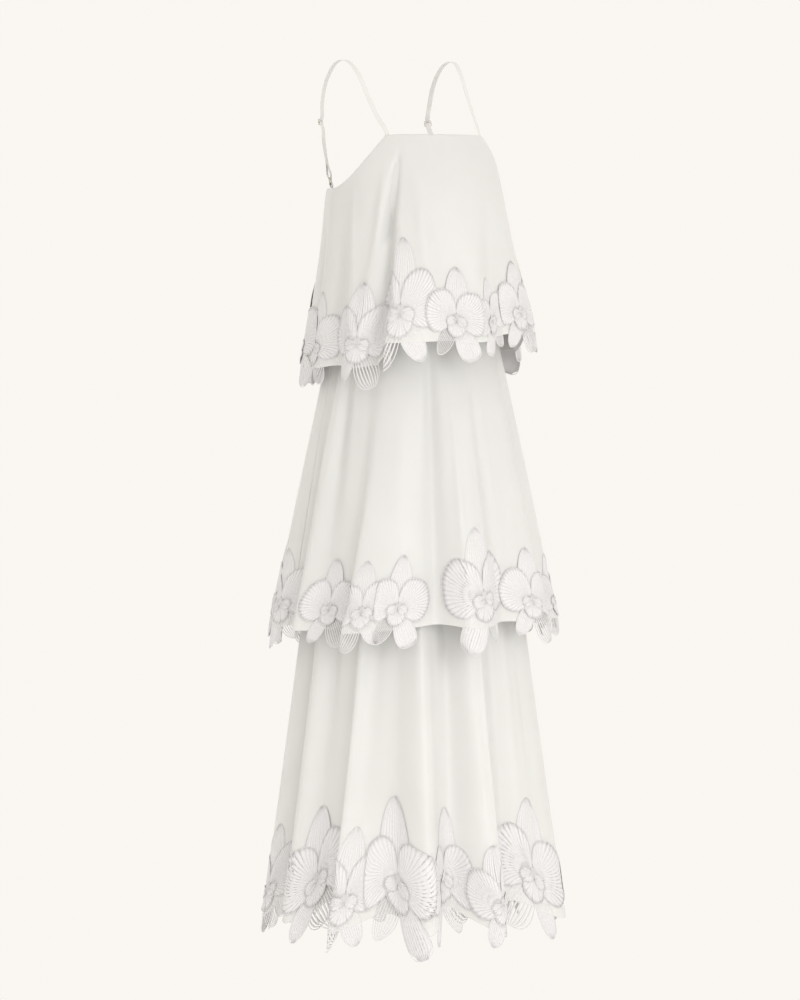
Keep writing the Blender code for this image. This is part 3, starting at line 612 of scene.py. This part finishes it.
class Flower:
    """The pieces of one orchid in flat coordinates: right, up, and out from the cloth."""

    # How much the lines of a petal crowd towards its two sides, where its outline turns fastest.
    crowding = 2.2

    def __init__(self):
        self.points, self.faces, self.slots, self.count = [], [], [], 0

    def add(self, points, faces, slot):
        """Adds one piece: its points, its faces, and 0 for thread or 1 for organza."""
        self.points.append(points.reshape(-1, 3))
        self.faces += [[v + self.count for v in face] for face in faces]
        self.slots += [slot] * len(faces)
        self.count += points.size // 3

    def ground(self, shape, side, across, down, start=0.0, slot=1):
        """The organza of a petal: a thin closed sheet on a grid over it."""
        s = np.linspace(-1, 1, across)
        below, thickness, edge, end = 0.0001, 0.0002, 0.997, 0.998
        u = side * -np.sign(s) * (1 - (1 - np.abs(s)) ** self.crowding) * edge
        v = np.linspace(start, end, down)
        face = shape(*np.meshgrid(u, v, indexing="xy")) - [0, 0, below]
        under = face - [0, 0, thickness]
        rows, columns = face.shape[:2]
        points = np.concatenate([face, under[::-1]])
        faces = grid_faces(2 * rows, columns, ring=True).tolist()
        r = np.arange(rows - 1)
        for c, order in ((0, 1), (columns - 1, -1)):
            a, b = r * columns + c, (2 * rows - 1 - r) * columns + c
            faces += np.stack([a, b, b - columns, a + columns], -1)[:, ::order].tolist()
        self.add(points, faces, slot)

    def ribs(self, shape, side, count, start, end, share, height, depth, steps, reach=0.97):
        """Raised lines of thread from the centre outwards: flat-topped bars that taper at both ends and
        sink their feet in the organza."""
        edge = 0.995
        spot = np.linspace(-1, 1, count + 2)[1:-1] * reach
        v = np.linspace(start, end, steps)
        taper = np.clip(np.minimum(np.arange(steps) + 0.5, steps - 0.1 - np.arange(steps)) / 1.6, 0, 1)
        wide = side * share / (count + 1) * np.array([1, 0.72, -0.72, -1])
        u = spot[:, None, None] + wide * (0.45 + 0.55 * taper[:, None])
        u, v = np.broadcast_arrays(np.clip(u, -edge, edge), v[:, None])
        bars = shape(u, v)
        tall = np.array([-depth, height, height, -depth]) * taper[:, None]
        bars = bars + np.stack([0 * u, 0 * u, np.broadcast_to(tall, u.shape)], -1)
        one = np.array(turned_over(tube_faces(steps, 4)))
        faces = (one[None] + (np.arange(count) * 4 * steps)[:, None, None]).reshape(-1, 4)
        self.add(bars, faces.tolist(), 0)

    def cord(self, path, thick, sides=5):
        """A round cord along a path of flat points, closed at its ends."""
        along = np.gradient(path, axis=0)
        lateral = unit(np.stack([along[:, 1], -along[:, 0], 0 * along[:, 0]], -1))
        roll = 2 * np.pi * np.arange(sides) / sides
        out = np.array([0, 0, 1.0])
        ring = lateral[:, None] * np.cos(roll)[:, None] + out * np.sin(roll)[:, None]
        self.add(path[:, None] + ring * thick, tube_faces(len(path), sides), 0)

    def rim(self, shape, steps, thick, lift=0.0001):
        """The corded edge of a fan petal, along its outer line."""
        s, edge = np.linspace(-1, 1, steps), 0.996
        u = np.sign(s) * (1 - (1 - np.abs(s)) ** self.crowding) * edge
        self.cord(shape(u, np.ones(steps)) + [0, 0, lift], thick)

    def border(self, shape, steps, thick, start=0.05, lift=0.0001):
        """The corded edge of a blade petal: up one side and down the other."""
        end = 0.998
        v = start + (end - start) * np.sin(np.pi / 2 * np.linspace(0, 1, steps))
        u = np.concatenate([-np.ones(steps), np.ones(steps - 1)])
        path = shape(u, np.concatenate([v, v[-2::-1]]))
        self.cord(path + [0, 0, lift], thick)


def sew_orchid(tier, name, node, angle, size, turn, left_room, right_room, number):
    """One orchid: dorsal sepal, lower sepals, two side petals, frilled lip and column, laid on its tier.
    Every second orchid lies over its neighbours, so overlapping petals stay apart."""
    flower = {"size": size, "turn": turn, "phase": 1.7 * number}
    flower["left_room"], flower["right_room"] = left_room, right_room
    # The thirteenth lies over both its neighbours, because in a ring of thirteen it also meets the first.
    low = 0.0014 * (number % 2) + 0.0028 * (number == 12)
    made = Flower()

    def dorsal(u, v):
        return blade_petal(
            flower, u, v, lean=0, length=1.0, half_width=0.250, base=0.58, tip=0.66, lift=low, cup=0.0003
        )

    made.ground(dorsal, 1, 13, 12, start=0.02)
    made.ribs(dorsal, 1, 10, start=0.06, end=0.985, share=0.87, height=0.00025, depth=0.0002, steps=9)
    made.border(dorsal, 22, 0.00050)
    for side in (-1, 1):

        # One lower sepal is wide and blunt and the other slim, by turns.
        wide = (number + (side > 0)) % 2 == 0
        length, half, tip = (0.82, 0.215, 0.36) if wide else (0.76, 0.150, 0.60)

        def lower(u, v, side=side, length=length, half=half, tip=tip):
            return blade_petal(flower, u, v, 154, length, half, 0.85, tip, low, -0.0012, side)

        def petal(u, v, side=side):
            return fan_petal(
                flower, u, v, lean=67, spread=66, length=0.76, roundness=0.34,
                lift=low + 0.0006, cup=0.0003, ruffle=0.0003, waves=3.0, side=side
            )

        # Half of the lower sepals are open between their ribs, and both are on the eleventh.
        if (number // 2 + (side > 0)) % 2 == 0 or number == 10:
            made.ribs(
                lower, side, 7, 0.30, 0.985, share=0.50, height=0.0005, depth=0.0005, steps=9, reach=1.0
            )
            made.border(lower, 20, 0.00085, lift=0.0)
        else:
            made.ground(lower, side, 11, 9, start=0.02)
            made.ribs(lower, side, 8, 0.10, 0.985, share=0.86, height=0.0002, depth=0.0002, steps=8)
            made.border(lower, 20, 0.00065)
        made.ground(petal, side, 23, 8)
        made.ribs(petal, side, 20, 0.12, 0.996, share=0.87, height=0.00025, depth=0.0002, steps=8)
        made.rim(petal, 46, 0.00050)

    for side in (-1, 1):

        def lobe(u, v, side=side):
            return fan_petal(
                flower, u, v, lean=108, spread=50, length=0.23, roundness=0.42,
                lift=low + 0.0014, cup=0.0007, ruffle=0.0004, waves=4.0, side=side
            )

        made.ground(lobe, side, 15, 5)
        made.ribs(lobe, side, 8, 0.20, 0.97, share=0.78, height=0.0002, depth=0.0002, steps=6)
        made.rim(lobe, 24, 0.00050)

    def lip(u, v):
        return fan_petal(
            flower, u, v, lean=180, spread=68, length=0.34, roundness=0.36,
            lift=low + 0.0012, cup=0.0006, ruffle=0.0005, waves=5.0
        )

    made.ground(lip, 1, 21, 6)
    made.ribs(lip, 1, 12, 0.16, 0.98, share=0.78, height=0.0002, depth=0.0002, steps=6)
    made.rim(lip, 40, 0.00055)

    def column(u, v):
        spot = blade_petal(
            flower, u, v, lean=0, length=0.15, half_width=0.045, base=0.5, tip=0.5,
            lift=low + 0.0016, cup=0.0
        )
        down, swell = 0.035 * size, 0.0014 * (1 - u ** 2) * v * (1.4 - v)
        return spot - [0, down, 0] + np.stack([0 * u, 0 * u, swell], -1)

    made.ground(column, 1, 9, 7, start=0.03, slot=0)
    made.ribs(column, 1, 5, 0.08, 0.95, share=0.62, height=0.0006, depth=0.0002, steps=6)

    spots = np.concatenate(made.points)
    station = np.interp(angle, tier["shown"], tier["stations"])
    centre_height, clear_of_cloth = 0.40 * size, 0.0004
    place, out = on_cloth(tier, station + spots[:, 0], centre_height + spots[:, 1])
    points = place + out * (spots[:, 2:] + clear_of_cloth)
    piece = add_mesh(name, points, made.faces, spots[:, :2].copy(), [thread, organza], made.slots)
    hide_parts(node)
    return piece


def sew_orchids(tier, label, orchids):
    """All the orchids of a tier, from (angle, size, turn). Each has room for 0.6 of the way to either
    neighbour, so neighbours overlap a little."""
    measure_hem(tier)
    at = np.interp([o[0] for o in orchids], tier["shown"], tier["stations"])
    gaps = (at - np.roll(at, 1)) % tier["girth"]
    room = 0.60 * gaps
    made = []
    for n, (angle, size, turn) in enumerate(orchids):
        left, right = room[n], room[(n + 1) % len(at)]
        name, node = f"orchid_{label}_{n + 1:02d}", f"{label}_orchid_{n + 1:02d}"
        made.append(sew_orchid(tier, name, node, angle, size, turn, left, right, n))
    front = [p for p, o in zip(made, orchids) if abs(o[0]) < 90]
    back = [p for p, o in zip(made, orchids) if abs(o[0]) >= 90]
    return front, back


top_orchids = sew_orchids(top_tier, "top_tier", [
    (-153, 0.102, 5), (-122, 0.096, -6), (-89, 0.086, 3), (-58, 0.095, 6), (-37, 0.118, -4),
    (-6, 0.083, 5), (18, 0.068, -4), (41, 0.082, 4), (63, 0.088, -4), (86, 0.102, 5),
    (112, 0.096, -6), (142, 0.104, 4), (174, 0.110, -4),
])
middle_orchids = sew_orchids(middle_tier, "middle_tier", [
    (-152, 0.102, -5), (-122, 0.098, 6), (-94, 0.089, -6), (-65, 0.078, 5), (-47, 0.080, -4),
    (-33, 0.082, 5), (3, 0.112, -5), (31, 0.085, 4), (61, 0.074, -5), (84, 0.094, 5),
    (110, 0.106, 4), (139, 0.098, -4), (171, 0.108, 4),
])
slip_orchids = sew_orchids(slip, "slip", [
    (-157, 0.118, 5), (-129, 0.112, -5), (-101, 0.100, 6), (-72, 0.120, -3), (-54, 0.114, 4),
    (-32, 0.133, -4), (-13.5, 0.111, 5), (8, 0.095, -5), (31, 0.127, 4), (62, 0.105, -6),
    (88, 0.112, 5), (114, 0.112, -4), (143, 0.122, 5), (173, 0.114, -6),
])


# The shoulder straps: satin ribbon 7.5 mm wide, sewn inside the neck edge in front, over the shoulder,
# through a slider and round a ring, then back up to the slider's bar. A short tab holds the ring.

# Polyester double-face satin ribbon: closely woven floats along it, with a firm woven edge.
ribbon_satin, tree, shader = new_material("ivory_satin_ribbon", Roughness=0.38, IOR=1.50, Sheen_Weight=0.1)
flat = add_node(tree, "ShaderNodeUVMap", uv_map="flat")
floats = add_node(tree, "ShaderNodeMapping", {"Vector": (flat, "UV")}, Scale=(1300, 90, 1))
streak = add_node(tree, "ShaderNodeTexNoise", {"Vector": (floats, "Vector")}, Scale=1.0, Detail=1.0)
two_tones(tree, shader, streak, "E3E3E0", "E5E5E2")
raised(tree, shader, streak, strength=0.05, distance=0.0001)

# The ribbon's centre line and its direction across, on the wearer's left.
strap_route = np.array([
    (0.0846, -0.1342, -0.1352, 0.790, 0.610, -0.059),
    (0.0830, -0.1309, -0.1223, 0.818, 0.512, -0.262),
    (0.0868, -0.1050, -0.0930, 0.908, 0.263, -0.325),
    (0.0895, -0.0770, -0.0600, 0.960, 0.172, -0.223),
    (0.0930, -0.0440, -0.0190, 0.989, 0.016, -0.148),
    (0.0962, -0.0200, -0.0030, 0.996, -0.074, -0.056),
    (0.0975, 0.0000, 0.0000, 0.999, -0.044, 0.001),
    (0.0980, 0.0210, -0.0040, 1.000, -0.018, -0.013),
    (0.0980, 0.0420, -0.0170, 0.997, -0.052, -0.060),
    (0.0980, 0.0610, -0.0390, 0.984, -0.150, -0.099),
    (0.0975, 0.0730, -0.0700, 0.954, -0.281, -0.104),
    (0.0968, 0.0778, -0.0938, 0.938, -0.345, 0.022),
    (0.0980, 0.0795, -0.0969, 0.914, -0.383, 0.133),
    (0.0981, 0.0792, -0.0987, 0.914, -0.383, 0.133),
    (0.0972, 0.0762, -0.1010, 0.923, -0.328, 0.201),
    (0.1010, 0.0605, -0.1300, 0.865, -0.356, 0.353),
    (0.1072, 0.0360, -0.1650, 0.769, -0.500, 0.399),
    (0.1094, 0.0233, -0.1902, 0.698, -0.613, 0.371),
    (0.1091, 0.0224, -0.1911, 0.698, -0.613, 0.371),
    (0.1082, 0.0214, -0.1911, 0.698, -0.613, 0.371),
    (0.1074, 0.0209, -0.1903, 0.698, -0.613, 0.371),
    (0.1070, 0.0212, -0.1891, 0.699, -0.616, 0.363),
    (0.1066, 0.0347, -0.1648, 0.780, -0.495, 0.382),
    (0.1004, 0.0592, -0.1298, 0.866, -0.354, 0.354),
    (0.0967, 0.0748, -0.1017, 0.917, -0.340, 0.210),
    (0.0971, 0.0768, -0.0983, 0.914, -0.383, 0.133),
    (0.0969, 0.0772, -0.0965, 0.914, -0.383, 0.133),
])
tab_route = np.array([
    (0.1081, 0.0123, -0.2177, 0.657, -0.754, 0.018),
    (0.1089, 0.0133, -0.2043, 0.658, -0.715, 0.236),
    (0.1073, 0.0167, -0.1970, 0.699, -0.593, 0.399),
    (0.1076, 0.0176, -0.1961, 0.698, -0.613, 0.371),
    (0.1084, 0.0186, -0.1961, 0.698, -0.613, 0.371),
    (0.1093, 0.0191, -0.1969, 0.698, -0.613, 0.371),
    (0.1097, 0.0189, -0.1981, 0.698, -0.613, 0.371),
    (0.1099, 0.0162, -0.2028, 0.698, -0.613, 0.371),
])
ribbon_width = 0.0075
ribbon_thickness = 0.0008


def along_route(route, steps_between):
    """A smooth line through a route's rows: a cubic between neighbours, its slopes kept short where the
    rows are close."""
    gaps = np.linalg.norm(np.diff(route[:, :3], axis=0), axis=1)
    at = np.concatenate([[0], gaps.cumsum()])
    where = np.concatenate([np.linspace(a, b, steps_between, endpoint=False) for a, b in zip(at, at[1:])])
    table = [(a, *row) for a, row in zip(at, route.tolist())]
    return smooth_rows(table, np.append(where, at[-1]))


def sew_ribbon(name, node, route):
    """A ribbon with rounded edges along a route, on the wearer's left and mirrored on the right."""
    line = along_route(route, 6)
    place, across = line[:, :3], unit(line[:, 3:])
    along = unit(np.gradient(place, axis=0))
    across = unit(across - along * (across * along).sum(-1, keepdims=True))
    out = np.cross(across, along)
    # The ribbon's section, as shares of its half width and half thickness: thickest beside its edges.
    flat_x = [1, 0.985, 0.9, 0.3, -0.3, -0.9, -0.985, -1, -0.985, -0.9, -0.3, 0.3, 0.9, 0.985]
    high = [0, 0.7, 1.1, 0.9, 0.9, 1.1, 0.7, 0, -0.7, -1.1, -0.9, -0.9, -1.1, -0.7]
    flat_x, high = ribbon_width / 2 * np.array(flat_x), ribbon_thickness / 2 * np.array(high)
    points = place[:, None] + across[:, None] * flat_x[:, None] + out[:, None] * high[:, None]
    faces = tube_faces(*points.shape[:2])
    length = np.linalg.norm(np.diff(place, axis=0, prepend=place[:1]), axis=1).cumsum()
    uv = np.stack(np.broadcast_arrays(flat_x, length[:, None]), -1)
    return both_sides(name, node, points.reshape(-1, 3), faces, uv, ribbon_satin)


def both_sides(name, node, points, faces, uv, finish):
    """The same piece on the wearer's left and, mirrored, on the right."""
    left = add_mesh(f"{name}_left", points, faces, uv, [finish])
    right = add_mesh(f"{name}_right", points * [-1, 1, 1], [f[::-1] for f in faces], uv, [finish])
    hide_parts(f"{node}_left")
    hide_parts(f"{node}_right")
    return left, right


straps = sew_ribbon("ribbon_strap", "strap", strap_route)
tabs = sew_ribbon("ribbon_tab", "strap_tab", tab_route)


# The ring and the slider: die-cast zinc, polished and plated in a pale champagne tone.
metal, tree, shader = new_material(
    "plated_zinc", Base_Color=linear("CFC9BE"), Metallic=1.0, Roughness=0.24
)
spots = add_node(tree, "ShaderNodeTexCoord")
wear = add_node(tree, "ShaderNodeTexNoise", {"Vector": (spots, "Object")}, Scale=900.0, Detail=2.0)
gloss = add_node(tree, "ShaderNodeMapRange", {"Value": (wear, "Fac")}, To_Min=0.18, To_Max=0.32)
tree.links.new(gloss.outputs["Result"], shader.inputs["Roughness"])

ring_centre = np.array([0.10835, 0.02002, -0.19358])
slider_centre = np.array([0.09752, 0.07817, -0.09761])


def hardware_directions(centre, above, across):
    """Directions across the ribbon, up it, and out from the body, at right angles to each other."""
    up = unit(np.array(above) - centre)
    across = unit(np.array(across) - up * np.dot(across, up))
    return across, up, np.cross(across, -up)


def wire_loop(centre, directions, half_wide, half_tall, squareness, wire, steps, sides=10):
    """A closed wire: a superellipse, from round to square cornered, with a round section."""
    across, up, out = directions
    turn = 2 * np.pi * np.arange(steps) / steps
    power = 2 / squareness
    x = half_wide * np.sign(np.cos(turn)) * np.abs(np.cos(turn)) ** power
    y = half_tall * np.sign(np.sin(turn)) * np.abs(np.sin(turn)) ** power
    path = np.stack([x, y], -1)
    along = unit(np.roll(path, -1, axis=0) - np.roll(path, 1, axis=0))
    lateral = np.stack([along[:, 1], -along[:, 0]], -1)
    roll = 2 * np.pi * np.arange(sides) / sides
    flat = path[:, None] + lateral[:, None] * wire * np.cos(roll)[:, None]
    points = centre + flat[..., :1] * across + flat[..., 1:] * up + (wire * np.sin(roll))[:, None] * out
    return points.reshape(-1, 3), turned_over(tube_faces(steps, sides, closed=True))


ring_ways = hardware_directions(ring_centre, above=(0.1073, 0.0347, -0.1674), across=(0.698, -0.613, 0.371))
points, faces = wire_loop(
    ring_centre, ring_ways, half_wide=0.0062, half_tall=0.0062, squareness=2.0, wire=0.0009, steps=56
)
rings = both_sides("ring", "strap_ring", points, faces, points[:, :2].copy(), metal)

slider_ways = hardware_directions(
    slider_centre, above=(0.0958, 0.0843, -0.0683), across=(0.914, -0.383, 0.133)
)
points, faces = wire_loop(
    slider_centre, slider_ways, half_wide=0.0055, half_tall=0.0046, squareness=5.0, wire=0.00055, steps=72
)
# The slider's middle bar, which the ribbon's end is sewn round.
bar_half, bar_radius, bar_rings, bar_sides = 0.0053, 0.0005, 8, 10
roll = 2 * np.pi * np.arange(bar_sides) / bar_sides
section = slider_ways[1] * np.cos(roll)[:, None] + slider_ways[2] * np.sin(roll)[:, None]
bar = np.linspace(-bar_half, bar_half, bar_rings)[:, None, None] * slider_ways[0] + bar_radius * section
faces += [[len(points) + k for k in face] for face in turned_over(tube_faces(bar_rings, bar_sides))]
points = np.concatenate([points, (slider_centre + bar).reshape(-1, 3)])
sliders = both_sides("slider", "strap_slider", points, faces, points[:, :2].copy(), metal)


# The studio: a pale floor below the hem that meets a pale backdrop, one large soft light from the
# right of the camera, a weaker one low in front, and light from all round.
pale = linear("FAF6F1")
floor_paint, tree, shader = new_material("pale_floor", Roughness=0.9)
glow = add_node(tree, "ShaderNodeEmission", Color=pale, Strength=1.0)
tree.links.new(glow.outputs["Emission"], tree.nodes["Material Output"].inputs["Surface"])
floor_z, floor_half = -1.56, 30
mesh = bpy.data.meshes.new("floor")
corners = [(x * floor_half, y * floor_half, floor_z) for x, y in ((-1, -1), (1, -1), (1, 1), (-1, 1))]
mesh.from_pydata(corners, [], [(0, 1, 2, 3)])
mesh.materials.append(floor_paint)
floor = bpy.data.objects.new("floor", mesh)
bpy.context.scene.collection.objects.link(floor)

world = bpy.data.worlds.new("studio")
world.use_nodes = True
world.node_tree.nodes["Background"].inputs["Color"].default_value = pale
world.node_tree.nodes["Background"].inputs["Strength"].default_value = 1.0
bpy.context.scene.world = world
bpy.context.scene.view_settings.view_transform = "Standard"

# The camera's side: 27 degrees round to the wearer's right.
view_turn = np.radians(-27.0)
view_back = np.array([np.sin(view_turn), -np.cos(view_turn), 0])
view_right = np.array([np.cos(view_turn), np.sin(view_turn), 0])


def add_light(name, right, back, z, wide, tall, power, aim_z):
    """A soft box at a place given to the right of the dress, towards the camera, and by height."""
    lamp = bpy.data.lights.new(name, "AREA")
    lamp.shape, lamp.size, lamp.size_y, lamp.energy = "RECTANGLE", wide, tall, power
    made = bpy.data.objects.new(name, lamp)
    spot = view_right * right + view_back * back + np.array([0, 0, z])
    away = spot - np.array([0, axis_y, aim_z])
    made.location = spot.tolist()
    yaw = np.arctan2(away[1], away[0]) + np.pi / 2
    made.rotation_euler = (float(np.arctan2(np.hypot(away[0], away[1]), away[2])), 0, float(yaw))
    bpy.context.scene.collection.objects.link(made)


add_light("key", right=1.9, back=3.0, z=-0.10, wide=1.4, tall=1.8, power=28.0, aim_z=-0.65)
add_light("fill", right=0.1, back=2.6, z=-1.36, wide=1.8, tall=0.3, power=8.0, aim_z=-0.50)

# The camera stands 8 m away, 30 cm below the shoulders, and looks down 3 degrees at the skirts.
distance, frame_height, horizon = 8.0, 1.611, -0.303
target = view_right * 0.006 + view_back * 0.03 + np.array([0, 0, -0.706])
spot = target + view_back * distance
lens = bpy.data.cameras.new("camera")
lens.lens = 36 * float(np.hypot(distance, horizon - target[2])) / frame_height
camera = bpy.data.objects.new("camera", lens)
camera.location = (spot[0], spot[1], horizon)
camera.rotation_euler = (np.pi / 2 - float(np.arctan2(horizon - target[2], distance)), 0, view_turn)
bpy.context.scene.collection.objects.link(camera)
bpy.context.scene.camera = camera
